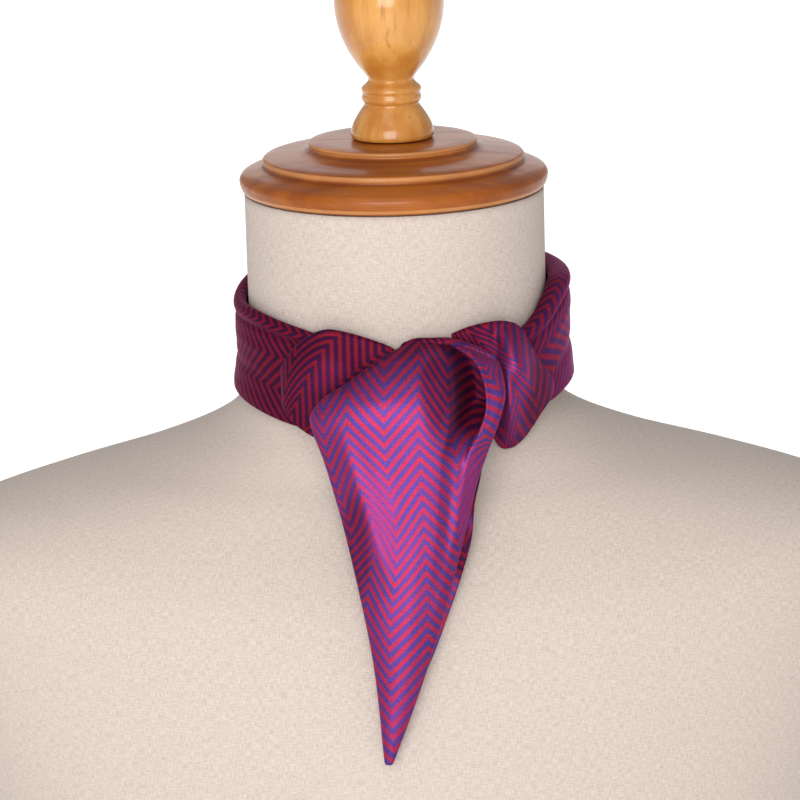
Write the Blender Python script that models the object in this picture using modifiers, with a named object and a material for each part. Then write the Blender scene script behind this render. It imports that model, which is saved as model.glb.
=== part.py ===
# Silk cravat worn on a table-top dress form with a turned wooden neck cap
import math

import bpy
import numpy as np

# Units are metres, +Z is up, +X is to the viewer's right and -Y is towards the viewer.
# Tables are written in millimetres and turned into metres by table().
MM = 0.001

# Driving sizes of the dress form
NECK_RADIUS = 62 * MM
FORM_ROUND_STEPS = 40
FORM_RISE_STEPS = 22
FORM_SHARP_DEGREES = 50
CAP_LEVEL = 517 * MM
CAP_ROUND_STEPS = 44
FINIAL_SEAT = 532.1 * MM
FINIAL_ROUND_STEPS = 32

# Driving sizes of the cloth
SILK_WALL = 1.6 * MM
EDGE_ROLL = 2.2 * MM
TOP_ROLL = 1.6 * MM

# Colour and roughness of each stuff
LINEN = ((0.69, 0.61, 0.53), 0.9)
CAP_WOOD = ((0.40, 0.13, 0.03), 0.25)
FINIAL_WOOD = ((0.62, 0.29, 0.07), 0.3)
SILK = ((0.33, 0.05, 0.17), 0.4)


def table(columns, *rows):
    # One array in metres for each named column
    values = np.array(rows, dtype=float) * MM
    return {name: values[:, place] for place, name in enumerate(columns.split())}


# Horizontal sections of the linen body, from the flat base to the neck's top
FORM_SECTIONS = table(
    "height half_width half_depth setback",
    (0, 140, 103.3, 3.3),
    (60, 134, 98.3, 3.3),
    (140, 150, 105.3, 3.3),
    (220, 172, 111.3, 3.3),
    (280, 190, 110.3, 3.3),
    (325, 205, 104.3, 3.3),
    (352, 211, 97.3, 3.3),
    (368, 206, 89.2, 3.2),
    (381, 184, 81, 3),
    (392, 150, 74.6, 2.6),
    (402, 112, 69, 2),
    (412, 84, 66, 1),
    (422, 68.5, 63.8, 0),
    (434, 63.4, 62.4, 0),
    (448, 62, 62, 0),
    (480, 62, 62, 0),
    (510.5, 62, 62, 0),
)

# Half profile of the neck cap, measured up from the level where its lowest tier is widest
CAP_PROFILE = table(
    "radius rise",
    (0, 14.8),
    (29.5, 14.8),
    (34.6, 14.3),
    (35.2, 13.3),
    (34.2, 12.2),
    (36.4, 10.9),
    (38.6, 10.1),
    (50.0, 8.9),
    (53.4, 8.2),
    (54.4, 6.9),
    (53.6, 5.5),
    (54.6, 4.6),
    (59.6, 3.1),
    (62.8, 1.6),
    (64.0, -0.4),
    (63.6, -3.0),
    (62.6, -5.2),
    (61.0, -6.2),
    (0, -6.2),
)

# Half profile of the finial, measured up from its seat on the cap
FINIAL_PROFILE = table(
    "radius rise",
    (0, 81.5),
    (6.0, 80.9),
    (12.0, 78.4),
    (17.2, 73.6),
    (20.8, 67.0),
    (22.6, 60.0),
    (22.7, 54.5),
    (21.6, 47.0),
    (18.8, 39.0),
    (14.6, 31.6),
    (10.4, 26.4),
    (9.3, 24.6),
    (9.8, 23.2),
    (12.0, 21.6),
    (12.5, 20.0),
    (11.8, 18.6),
    (12.4, 17.2),
    (12.2, 15.4),
    (10.9, 14.4),
    (13.6, 10.8),
    (16.4, 6.0),
    (17.4, 2.2),
    (17.0, 0.6),
    (16.2, 0.0),
    (0, 0.0),
)

# Neck band, round from the centre back: one row for each angle
BAND_ROWS_LEFT = table(
    "angle top bottom swell",
    (0.2, 478, 437, 4.6),
    (45, 475, 434, 4.8),
    (90, 467.5, 430, 5.0),
    (118, 466.5, 427, 4.8),
    (138, 464, 424, 4.6),
    (158, 460, 421, 4.4),
)
BAND_ROWS_RIGHT = table(
    "angle top bottom swell",
    (0.2, 478, 437, 4.6),
    (35, 477, 436, 6.0),
    (70, 475, 433, 8.6),
    (97, 473.5, 431, 9.2),
    (110, 469, 429, 8.6),
    (120, 463, 427, 8.0),
    (129, 459, 426, 7.0),
    (140, 457, 425, 6.0),
)

# Rolled top of the band: drop below the top edge and distance out from the band's own line,
# from the hidden inner start over the roll to the groove under it
BAND_SECTION = table(
    "drop out",
    (3.4, -2.9),
    (1.0, -2.7),
    (0.0, -1.4),
    (0.7, 0.0),
    (2.9, 0.5),
    (5.2, -0.9),
    (7.6, -0.1),
)
BAND_INNER_PLACES = 3
BAND_INNER_SWELL = 4.6 * MM
BAND_FACE_STEPS = 5
BAND_FLARE = 1.5 * MM
BAND_ROUND_STEPS = 22

# Wrap across the throat, from its hidden end to the turned-back end at the left
WRAP_ROWS = table(
    "x depth top bottom bulge curl",
    (14, 65.6, 449, 425, 0.5, 0.3),
    (7, 66.0, 450.5, 422, 1.0, 0.3),
    (2, 66.4, 452.5, 421, 1.2, 0.3),
    (-3, 66.8, 457.6, 420, 1.8, 0.4),
    (-12, 67.2, 461.4, 419, 3.0, 1.2),
    (-21, 66.8, 464.2, 419, 5.0, 1.5),
    (-29, 65.4, 465.2, 420, 6.5, 1.5),
    (-36, 63.4, 462.2, 422, 6.5, 1.5),
    (-42, 60.8, 456.6, 426, 5.0, 1.5),
    (-46, 57.6, 450.8, 430, 3.0, 1.0),
    (-47.2, 54.6, 447, 433, 1.0, 0.4),
    (-44.8, 53.2, 445, 437, 0.0, 0.2),
    (-40, 56.2, 444.5, 438, 0.0, 0.2),
    (-35.5, 59.2, 444.5, 438, 0.0, 0.2),
)
WRAP_ALONG_STEPS = 26

# Fold at the right of the throat, from its hidden end beside the throat to the band
FOLD_ROWS = table(
    "x depth top bottom bulge curl",
    (21.5, 60.1, 461.0, 448, 0.0, 0.3),
    (27, 60.8, 463.2, 440, 1.0, 1.2),
    (33, 60.0, 464.6, 430, 1.2, 1.5),
    (39, 58.6, 465.2, 415, 6.0, 1.5),
    (44, 57.0, 464.6, 413, 16.5, 1.5),
    (48.5, 54.0, 462.0, 415, 16.5, 1.5),
    (52.5, 50.7, 454.4, 419, 12.0, 1.2),
    (56.5, 46.9, 446.4, 424, 7.0, 0.8),
    (60, 43.0, 440.6, 428, 3.5, 0.5),
    (62.5, 40.0, 436.8, 431, 1.0, 0.2),
)
FOLD_ALONG_STEPS = 20
CURL_STEPS = 4
FACE_STEPS = 9
# A bulge is fullest a little above the middle of its face, and rounder than a plain wave
BULGE_LIFT = 0.8
BULGE_ROUNDNESS = 1.2

# Front blade: outline and crown of each level, how far its two ends droop below the level,
# and the widths turned under at each side
BLADE_ROWS = table(
    "height left left_depth right right_depth crown_depth left_droop right_droop left_hem right_hem",
    (459.8, 1.2, 67.2, 38.4, 71.8, 70.0, 1.6, 7.0, 1.2, 1.2),
    (458.2, -1.4, 70.8, 38.9, 72.4, 75.8, 0.8, 5.8, 2.6, 1.4),
    (455.2, -6.8, 73.6, 39.6, 73.4, 82.4, 0.0, 3.8, 7.0, 1.8),
    (450.5, -14.5, 76.6, 40.3, 75.4, 88.2, 0.0, 1.4, 10.0, 2.2),
    (446, -21.5, 79.2, 41.0, 78.2, 91.6, 0.0, 0.0, 11.0, 2.6),
    (441, -30.5, 81.4, 41.3, 81.0, 94.2, 0.0, 0.0, 12.0, 3.6),
    (435, -35.2, 83.0, 39.8, 84.0, 96.0, 0.0, 0.0, 13.0, 5.0),
    (428, -34.2, 84.0, 37.2, 86.0, 97.2, 0.0, 0.0, 14.0, 9.0),
    (420, -31.2, 85.4, 33.8, 87.8, 98.4, 0.0, 0.0, 15.0, 13.0),
    (408, -27.6, 88.0, 29.2, 90.2, 100.2, 0.0, 0.0, 16.0, 16.0),
    (392, -23.4, 91.8, 24.8, 94.0, 102.8, 0.0, 0.0, 16.0, 16.0),
    (374, -19.4, 96.4, 19.6, 98.4, 106.0, 0.0, 0.0, 13.5, 13.5),
    (356, -15.8, 101.0, 14.2, 102.4, 109.0, 0.0, 0.0, 10.5, 10.5),
    (338, -12.8, 105.0, 8.0, 106.0, 111.4, 0.0, 0.0, 7.0, 7.0),
    (320, -11.0, 108.4, 1.2, 109.0, 113.0, 0.0, 0.0, 3.8, 3.8),
    (308, -10.2, 110.2, -3.6, 110.6, 113.6, 0.0, 0.0, 1.5, 1.5),
    (298, -9.4, 111.6, -7.6, 111.6, 112.8, 0.0, 0.0, 0.3, 0.3),
)

# Scoop beside the throat, at the same levels: the crown beside it, its deepest line, its rim,
# how far it sinks, how far the rim leans over it, how far the wall below the rim runs under
SCOOP_ROWS = table(
    "crown well rim sink lean tuck",
    (8.0, 18.0, 21.5, 0.8, 0.0, 0.0),
    (8.0, 22.6, 27.4, 10.0, 1.4, 1.2),
    (8.0, 26.6, 30.8, 17.0, 3.2, 3.2),
    (8.0, 29.0, 32.6, 20.5, 4.0, 4.2),
    (8.0, 30.0, 33.6, 22.6, 4.4, 4.4),
    (8.0, 30.6, 34.2, 24.0, 4.4, 4.2),
    (8.0, 30.0, 33.6, 24.0, 3.8, 3.6),
    (8.2, 27.0, 30.8, 14.0, 2.2, 1.8),
    (8.4, 23.0, 26.4, 2.2, 0.4, 0.2),
    (8.8, 20.6, 24.0, 0.7, 0.0, 0.0),
    (8.6, 17.8, 20.6, 0.4, 0.0, 0.0),
    (6.6, 14.0, 16.2, 0.2, 0.0, 0.0),
    (4.2, 9.8, 11.6, 0.0, 0.0, 0.0),
    (1.0, 5.0, 6.2, 0.0, 0.0, 0.0),
    (-2.8, -0.7, 0.1, 0.0, 0.0, 0.0),
    (-6.2, -4.9, -4.4, 0.0, 0.0, 0.0),
    (-8.5, -8.1, -7.8, 0.0, 0.0, 0.0),
)
FULL_SCOOP = 12 * MM
SCOOP_FLOOR = 0.3
# The slope eases down to its crease and drops steeply beyond it: the crease's place as a share of the
# way to the well, and the share of the sink reached there
SCOOP_CREASE = 0.5
SCOOP_EASE = 0.1
ARCH_FULLNESS = 2.4
DROOP_POWER = 1.5
BLADE_DOWN_STEPS = 32
BLADE_LEFT_STEPS = 9
BLADE_SLOPE_STEPS = 6
BLADE_WALL_STEPS = 6
BLADE_LIP_STEPS = 6
BLADE_HEM_STEPS = 3
BLADE_TOP_STEPS = 3
BLADE_TOP_DROP = 3 * MM
# The wall meets the rim in a crease, and the top's left corner is turned in towards the middle
RIM_SHARPNESS = 1.5
CORNER_TURN = 5 * MM
CORNER_REACH = 20 * MM

# Under blade, behind the front one, from the knot to its own point
UNDER_ROWS = table(
    "height left right depth bow",
    (417, -19, 33.0, 77.0, 1.5),
    (408, -19, 31.6, 80.0, 1.5),
    (397, -18, 28.8, 83.2, 1.5),
    (384, -16, 27.2, 87.2, 1.5),
    (370, -14, 22.8, 91.4, 1.2),
    (353, -11, 16.2, 96.4, 1.0),
    (336, -9, 9.0, 100.4, 0.8),
    (318, -7.8, -0.4, 103.6, 0.5),
    (306, -8.6, -5.2, 105.4, 0.2),
)
UNDER_DOWN_STEPS = 14
UNDER_ACROSS_STEPS = 10


def clear_scene():
    for item in list(bpy.data.objects):
        bpy.data.objects.remove(item, do_unlink=True)


def new_material(name, stuff):
    colour, roughness = stuff
    material = bpy.data.materials.new(name)
    material.use_nodes = True
    shader = material.node_tree.nodes["Principled BSDF"]
    shader.inputs["Base Color"].default_value = (*colour, 1.0)
    shader.inputs["Roughness"].default_value = roughness
    shader.inputs["Metallic"].default_value = 0.0
    return material


def spline(values, count):
    # Cubic curve through the rows of a column, at evenly spaced places along the rows
    values = np.asarray(values)
    place = np.linspace(0, len(values) - 1, count)
    start = np.clip(np.floor(place).astype(int), 0, len(values) - 2)
    share = place - start
    slope = np.gradient(values)
    before, after = values[start], values[start + 1]
    slope_before, slope_after = slope[start], slope[start + 1]
    return ((2 * share**3 - 3 * share**2 + 1) * before
            + (share**3 - 2 * share**2 + share) * slope_before
            + (3 * share**2 - 2 * share**3) * after
            + (share**3 - share**2) * slope_after)


def resample(rows, count):
    return {name: spline(values, count)[:, None] for name, values in rows.items()}


def new_object(name, mesh, stuff, collection):
    item = bpy.data.objects.new(name, mesh)
    mesh.materials.append(new_material(name, stuff))
    collection.objects.link(item)
    return item


def grid_mesh(name, points):
    # Open surface from rows of points
    rows, columns = points.shape[:2]
    corner = (np.arange(rows - 1)[:, None] * columns + np.arange(columns - 1)).ravel()
    faces = np.stack([corner, corner + columns, corner + columns + 1, corner + 1], axis=1)
    mesh = bpy.data.meshes.new(name)
    mesh.from_pydata(points.reshape(-1, 3).tolist(), [], faces.tolist())
    mesh.update()
    return mesh


def add_sheet(name, points, collection):
    # Cloth wall: the surface through the points, thickened evenly to both sides
    mesh = grid_mesh(name, points)
    mesh.shade_smooth()
    item = new_object(name, mesh, SILK, collection)
    wall = item.modifiers.new("wall", "SOLIDIFY")
    wall.thickness = SILK_WALL
    wall.offset = 0
    return item


def form_body(collection):
    # Loft of ellipses from the flat base to the neck's top, closed at both ends
    rows = resample(FORM_SECTIONS, FORM_RISE_STEPS)
    turn = np.linspace(0, 2 * math.pi, FORM_ROUND_STEPS, endpoint=False)
    x = rows["half_width"] * np.cos(turn)
    y = rows["setback"] + rows["half_depth"] * np.sin(turn)
    z = rows["height"] + np.zeros_like(turn)
    points = np.stack([x, y, z], axis=-1).reshape(-1, 3)
    start = np.arange(FORM_RISE_STEPS - 1)[:, None] * FORM_ROUND_STEPS
    here = np.arange(FORM_ROUND_STEPS)
    beside = (here + 1) % FORM_ROUND_STEPS
    sides = np.stack([start + here, start + beside, start + beside + FORM_ROUND_STEPS,
                      start + here + FORM_ROUND_STEPS], axis=-1).reshape(-1, 4)
    last = (FORM_RISE_STEPS - 1) * FORM_ROUND_STEPS
    faces = sides.tolist() + [here[::-1].tolist(), (last + here).tolist()]
    mesh = bpy.data.meshes.new("form_body")
    mesh.from_pydata(points.tolist(), [], faces)
    mesh.shade_smooth()
    mesh.set_sharp_from_angle(angle=math.radians(FORM_SHARP_DEGREES))
    return new_object("form_body", mesh, LINEN, collection)


def turned(name, profile, base, steps, stuff, collection):
    # Profile from the axis at the top, down the outside, to the axis at the bottom
    points = [(radius, 0, base + rise) for radius, rise in zip(profile["radius"], profile["rise"])]
    edges = [(place, place + 1) for place in range(len(points) - 1)]
    mesh = bpy.data.meshes.new(name)
    mesh.from_pydata(points, edges, [])
    item = new_object(name, mesh, stuff, collection)
    screw = item.modifiers.new("turning", "SCREW")
    screw.steps = steps
    screw.render_steps = steps
    screw.use_merge_vertices = True
    screw.merge_threshold = 0.00001
    screw.use_normal_calculate = True
    return item


def band(name, side, rows, collection):
    # Round the neck from the centre back; side is -1 for the left and 1 for the right
    rows = resample(rows, BAND_ROUND_STEPS)
    turn = np.radians(rows["angle"] / MM)
    fall = np.linspace(0, 1, BAND_FACE_STEPS + 1)[1:]
    face_top = BAND_SECTION["drop"][-1]
    height = rows["top"] - rows["bottom"]
    drop = np.concatenate([BAND_SECTION["drop"] + 0 * height,
                           face_top + (height - face_top) * fall], axis=1)
    out = np.concatenate([BAND_SECTION["out"] + 0 * height, BAND_FLARE * fall**3 + 0 * height], axis=1)
    inner = np.arange(drop.shape[1]) < BAND_INNER_PLACES
    swell = np.where(inner, BAND_INNER_SWELL, rows["swell"])
    radius = NECK_RADIUS + swell + out
    points = np.stack([side * radius * np.sin(turn), radius * np.cos(turn), rows["top"] - drop], axis=-1)
    return add_sheet(name, points[:, ::side], collection)


def standing_fold(name, rows, along, collection):
    # Cloth that stands round the throat: a top edge curled back, a bulging face, a plain foot
    rows = resample(rows, along)
    bend = np.linspace(math.pi, 0, CURL_STEPS + 1)[:-1]
    fall = np.linspace(0, 1, FACE_STEPS + 1)
    shoulder = rows["top"] - rows["curl"]
    curl_depth = rows["depth"] - rows["curl"] * (1 - np.cos(bend))
    curl_height = shoulder + rows["curl"] * np.sin(bend)
    wave = np.sin(math.pi * fall**BULGE_LIFT)**BULGE_ROUNDNESS
    face_depth = rows["depth"] + rows["bulge"] * wave
    face_height = shoulder + (rows["bottom"] - shoulder) * fall
    depth = np.concatenate([curl_depth, face_depth], axis=1)
    height = np.concatenate([curl_height, face_height], axis=1)
    points = np.stack([rows["x"] + 0 * depth, -depth, height], axis=-1)
    return add_sheet(name, points, collection)


def edge_roll(edge_x, edge_depth, hem, inward, turn_back):
    # Cloth turned under at an edge: a quarter round, then a flat return towards the middle
    roll = np.minimum(EDGE_ROLL, hem / 2)
    bend = np.linspace(0, math.pi / 2, BLADE_HEM_STEPS + 1)[1:]
    reach = np.linspace(0, 1, BLADE_HEM_STEPS)[1:]
    x = np.concatenate([edge_x + inward * roll * (1 - np.cos(bend)) * (1 - turn_back),
                        edge_x + inward * (roll + hem * reach) * (1 - turn_back)], axis=1)
    depth = np.concatenate([edge_depth - roll * np.sin(bend),
                            edge_depth - roll - turn_back * hem * reach], axis=1)
    return x, depth


def front_blade(collection):
    rows = resample(BLADE_ROWS, BLADE_DOWN_STEPS)
    scoop = resample(SCOOP_ROWS, BLADE_DOWN_STEPS)
    left, right, crown, well = rows["left"], rows["right"], scoop["crown"], scoop["well"]
    wall_end = scoop["rim"] + scoop["lean"]
    # Places across the face, closer together at the edges and over the scoop
    to_crown = 1 - np.cos(np.linspace(0, math.pi / 2, BLADE_LEFT_STEPS + 1))
    to_well = np.linspace(0, 1, BLADE_SLOPE_STEPS + 1)[1:]
    to_rim = np.linspace(0, 1, BLADE_WALL_STEPS + 1)[1:]
    to_right = np.sin(np.linspace(0, math.pi / 2, BLADE_LIP_STEPS + 1))[1:]
    x = np.concatenate([left + (crown - left) * to_crown, crown + (well - crown) * to_well,
                        well + (wall_end - well) * to_rim,
                        wall_end + (right - wall_end) * to_right], axis=1)
    # Arch of the face between its two edges
    middle, half = (left + right) / 2, (right - left) / 2
    share = np.clip(np.abs(x - middle) / half, 0, 1)
    chord = rows["left_depth"] + (rows["right_depth"] - rows["left_depth"]) * (x - left) / (2 * half)
    rise = rows["crown_depth"] - (rows["left_depth"] + rows["right_depth"]) / 2
    depth = chord + rise * np.sqrt(1 - share**ARCH_FULLNESS)
    # Scoop: a slope with a crease from the crown to the well, a short floor, a steep wall to the rim
    slope = np.clip((x - crown) / (well - crown), 0, 1)
    past_crease = np.clip((slope - SCOOP_CREASE) / (1 - SCOOP_CREASE), 0, 1)
    fall = np.where(slope < SCOOP_CREASE, SCOOP_EASE * (slope / SCOOP_CREASE)**2,
                    1 - (1 - SCOOP_EASE) * (1 - past_crease)**2)
    wall = np.clip((x - well) / (wall_end - well), 0, 1)
    climb = np.clip((wall - SCOOP_FLOOR) / (1 - SCOOP_FLOOR), 0, 1)
    depth = depth - scoop["sink"] * np.where(x < well, fall, 1 - climb**RIM_SHARPNESS)
    past_rim = np.clip((x - wall_end) / (right - wall_end), 0, 1)
    x = (x + scoop["tuck"] * np.sin(math.pi * wall)
         - scoop["lean"] * wall**4 * np.cos(math.pi / 2 * past_rim)**2)
    drop = (rows["left_droop"] * np.clip(1 - (x - left) / (crown - left), 0, 1)**2
            + rows["right_droop"] * np.clip((x - middle) / half, 0, 1)**DROOP_POWER)
    # Sides turned under; beside the scoop the right one runs straight back
    turn_back = np.clip(scoop["sink"] / FULL_SCOOP, 0, 1)
    left_x, left_depth = edge_roll(left, rows["left_depth"], rows["left_hem"], 1, 0 * turn_back)
    right_x, right_depth = edge_roll(right, rows["right_depth"], rows["right_hem"], -1, turn_back)
    x = np.concatenate([left_x[:, ::-1], x, right_x], axis=1)
    depth = np.concatenate([left_depth[:, ::-1], depth, right_depth], axis=1)
    drop = np.concatenate([drop[:, :1] + 0 * left_x, drop, drop[:, -1:] + 0 * right_x], axis=1)
    points = np.stack([x, -depth, rows["height"] - drop], axis=-1)
    # Top edge rolled back over the throat
    bend = np.linspace(math.pi, 0, BLADE_TOP_STEPS + 2)[:-1, None]
    turned_in = CORNER_TURN * np.clip(1 - (points[0, :, 0] - left[0]) / CORNER_REACH, 0, 1)**2
    back = (1 - np.cos(bend)) + 0 * turned_in
    over = points[:1] + np.stack([turned_in * back / 2, TOP_ROLL * back,
                                  TOP_ROLL * np.sin(bend) + 0 * back], axis=-1)
    hidden = over[:1] - np.array([0, 0, BLADE_TOP_DROP])
    points = np.concatenate([hidden, over, points], axis=0)
    return add_sheet("front_blade", points, collection)


def under_blade(collection):
    rows = resample(UNDER_ROWS, UNDER_DOWN_STEPS)
    across = np.linspace(0, 1, UNDER_ACROSS_STEPS + 1)
    x = rows["left"] + (rows["right"] - rows["left"]) * across
    depth = rows["depth"] + rows["bow"] * np.sin(math.pi * across)
    points = np.stack([x, -depth, rows["height"] + 0 * x], axis=-1)
    return add_sheet("under_blade", points, collection)


def build():
    clear_scene()
    collection = bpy.data.collections.new("silk_cravat_on_dress_form")
    bpy.context.scene.collection.children.link(collection)
    form_body(collection)
    turned("neck_cap", CAP_PROFILE, CAP_LEVEL, CAP_ROUND_STEPS, CAP_WOOD, collection)
    turned("finial", FINIAL_PROFILE, FINIAL_SEAT, FINIAL_ROUND_STEPS, FINIAL_WOOD, collection)
    band("neck_band_left", -1, BAND_ROWS_LEFT, collection)
    band("neck_band_right", 1, BAND_ROWS_RIGHT, collection)
    standing_fold("left_wrap", WRAP_ROWS, WRAP_ALONG_STEPS, collection)
    standing_fold("right_fold", FOLD_ROWS, FOLD_ALONG_STEPS, collection)
    under_blade(collection)
    front_blade(collection)


build()
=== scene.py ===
import math

import bpy
import numpy as np
from mathutils import Matrix, Vector


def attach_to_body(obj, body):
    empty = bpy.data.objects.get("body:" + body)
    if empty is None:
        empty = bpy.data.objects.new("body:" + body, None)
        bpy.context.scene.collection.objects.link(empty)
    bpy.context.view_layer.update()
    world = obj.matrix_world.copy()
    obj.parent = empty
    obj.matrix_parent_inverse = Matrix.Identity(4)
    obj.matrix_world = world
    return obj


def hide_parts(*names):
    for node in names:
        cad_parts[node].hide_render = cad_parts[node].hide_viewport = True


# Silk cravat on a linen bust form: looks, light and camera
# Metres, +Z up, -Y towards the viewer; the tables are in millimetres and turned into metres by table()
mm = 0.001
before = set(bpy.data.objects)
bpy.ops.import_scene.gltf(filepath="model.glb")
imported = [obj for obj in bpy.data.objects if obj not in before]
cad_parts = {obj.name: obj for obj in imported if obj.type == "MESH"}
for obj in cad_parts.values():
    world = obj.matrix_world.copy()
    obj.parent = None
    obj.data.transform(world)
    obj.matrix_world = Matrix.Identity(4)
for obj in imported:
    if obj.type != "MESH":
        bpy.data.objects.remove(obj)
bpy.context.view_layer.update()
print("frame loaded, nodes:", ", ".join(sorted(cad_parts)))


def table(columns, *rows):
    # one array in metres for each named column
    values = np.array(rows, dtype=float) * mm
    return {name: values[:, place] for place, name in enumerate(columns.split())}


def spline(values, count):
    # cubic curve through a column's rows at even places along them, with slopes from the neighbouring rows
    values = np.asarray(values)
    place = np.linspace(0, len(values) - 1, count)
    start = np.clip(np.floor(place).astype(int), 0, len(values) - 2)
    share = place - start
    slope = np.gradient(values)
    return ((2 * share**3 - 3 * share**2 + 1) * values[start]
            + (share**3 - 2 * share**2 + share) * slope[start]
            + (3 * share**2 - 2 * share**3) * values[start + 1]
            + (share**3 - share**2) * slope[start + 1])


def resample(rows, count):
    return {name: spline(values, count)[:, None] for name, values in rows.items()}


def arcLength(points, axis):
    # running length of the polylines along one axis of a grid of points
    step = np.linalg.norm(np.diff(points, axis=axis), axis=-1)
    start = np.zeros_like(step[:1] if axis == 0 else step[:, :1])
    return np.concatenate([start, np.cumsum(step, axis=axis)], axis=axis)


def ripple(along, across, creases):
    # sum of soft ridges (lift > 0) and troughs (lift < 0): each falls off as a bell curve of the distance
    # from its own bowed line, and fades out towards both of the line's ends as a power of a sine
    total = np.zeros(np.broadcast(along, across).shape)
    for place in range(len(creases["lift"])):
        one = {name: values[place] for name, values in creases.items()}
        runAlong, runAcross = one["toA"] - one["fromA"], one["toB"] - one["fromB"]
        length = math.hypot(runAlong, runAcross)
        share = ((along - one["fromA"]) * runAlong + (across - one["fromB"]) * runAcross) / length**2
        off = ((across - one["fromB"]) * runAlong - (along - one["fromA"]) * runAcross) / length
        off = off - one["bow"] * 4 * share * (1 - share)
        fade = np.where((share > 0) & (share < 1), np.sin(math.pi * np.clip(share, 0, 1))**0.7, 0)
        total = total + one["lift"] * np.exp(-(off / one["width"])**2) * fade
    return total


def gridObject(name, points, uv, closed=False):
    # surface through rows and columns of points, with its UV map in metres
    # closed joins the last column to the first
    rows, columns = points.shape[:2]
    corner = (np.arange(rows - 1)[:, None] * columns + np.arange(columns - 1)).ravel()
    faces = np.stack([corner, corner + columns, corner + columns + 1, corner + 1], axis=1)
    uvPlaces = faces.ravel()
    if closed:
        # the last column only carries the UV map's far side; its faces use the first column's points
        number = np.arange(rows)[:, None] * (columns - 1) + np.append(np.arange(columns - 1), 0)
        faces = number.ravel()[faces]
        points = points[:, :-1]
    mesh = bpy.data.meshes.new(name)
    mesh.from_pydata(points.reshape(-1, 3).tolist(), [], faces.tolist())
    layer = mesh.uv_layers.new(name="cloth")
    layer.data.foreach_set("uv", uv.reshape(-1, 2)[uvPlaces].ravel())
    mesh.shade_smooth()
    mesh.update()
    item = bpy.data.objects.new(name, mesh)
    bpy.context.scene.collection.objects.link(item)
    return item


# shader helpers


class Wire:
    # a node socket that can be used in sums

    def __init__(self, shader, socket):
        self.shader, self.socket = shader, socket

    def math(self, operation, *others):
        return self.shader.make("ShaderNodeMath", {"operation": operation}, [self, *others])

    def __add__(self, other):
        return self.math("ADD", other)

    __radd__ = __add__

    def __mul__(self, other):
        return self.math("MULTIPLY", other)

    __rmul__ = __mul__

    def __sub__(self, other):
        return self.math("SUBTRACT", other)

    def __rsub__(self, other):
        return self.shader.make("ShaderNodeMath", {"operation": "SUBTRACT"}, [other, self])

    def __truediv__(self, other):
        return self.math("DIVIDE", other)

    def __pow__(self, other):
        return self.math("POWER", other)


class Shader:
    # one material's node tree, ending in its Principled BSDF

    def __init__(self, name, **constants):
        self.material = bpy.data.materials.new(name)
        self.material.use_nodes = True
        self.tree = self.material.node_tree
        self.surface = self.tree.nodes["Principled BSDF"]
        for socket, value in constants.items():
            self.surface.inputs[socket.replace("_", " ")].default_value = value

    def make(self, kind, settings=None, inputs=(), output=0):
        node = self.tree.nodes.new(kind)
        for key, value in (settings or {}).items():
            setattr(node, key, value)
        pairs = inputs.items() if isinstance(inputs, dict) else enumerate(inputs)
        for key, value in pairs:
            if isinstance(value, Wire):
                self.tree.links.new(value.socket, node.inputs[key])
            else:
                node.inputs[key].default_value = value
        return Wire(self, node.outputs[output])

    def mix(self, share, low, high):
        # colour between low and high; a colour is a tuple or a wire
        low = (*low, 1) if isinstance(low, tuple) else low
        high = (*high, 1) if isinstance(high, tuple) else high
        return self.make("ShaderNodeMix", {"data_type": "RGBA", "clamp_factor": True},
                         {0: share, 6: low, 7: high}, 2)

    def noise(self, vector, scale, detail=2.0, roughness=0.5):
        return self.make("ShaderNodeTexNoise", {"noise_dimensions": "3D"},
                         {"Vector": vector, "Scale": scale, "Detail": detail, "Roughness": roughness})

    def stretch(self, vector, factors):
        return self.make("ShaderNodeVectorMath", {"operation": "MULTIPLY"}, [vector, factors])

    def join(self, x, y, z=0.0):
        return self.make("ShaderNodeCombineXYZ", None, [x, y, z])

    def split(self, vector):
        return [self.make("ShaderNodeSeparateXYZ", None, [vector], place) for place in range(3)]

    def between(self, value, low, high):
        # 0 below low, 1 above high, smooth between them
        return self.make("ShaderNodeMapRange", {"interpolation_type": "SMOOTHSTEP"},
                         [value, low, high, 0.0, 1.0])

    def patch(self, position, numbers):
        # an ellipsoid from its middle and half sizes in mm: the given share inside, and 0 just past its skin
        offset = self.make("ShaderNodeVectorMath", {"operation": "SUBTRACT"},
                           [position, tuple(value * mm for value in numbers[:3])])
        offset = self.stretch(offset, tuple(1 / (value * mm) for value in numbers[3:6]))
        reach = self.make("ShaderNodeVectorMath", {"operation": "LENGTH"}, [offset], 1)
        return (1 - self.between(reach, 0.5, 1.1)) * numbers[6]

    def finish(self, colour, roughness=None, glow=None, height=None, bump=(0.5, 0.5 * mm)):
        # bump is its strength and its depth
        links = {"Base Color": colour, "Roughness": roughness, "Emission Color": glow}
        if height is not None:
            links["Normal"] = self.make("ShaderNodeBump", None,
                                        {"Strength": bump[0], "Distance": bump[1], "Height": height})
        for socket, wire in links.items():
            if wire is not None:
                self.tree.links.new(wire.socket, self.surface.inputs[socket])
        return self.material


# silk: herringbone of two colours

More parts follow.
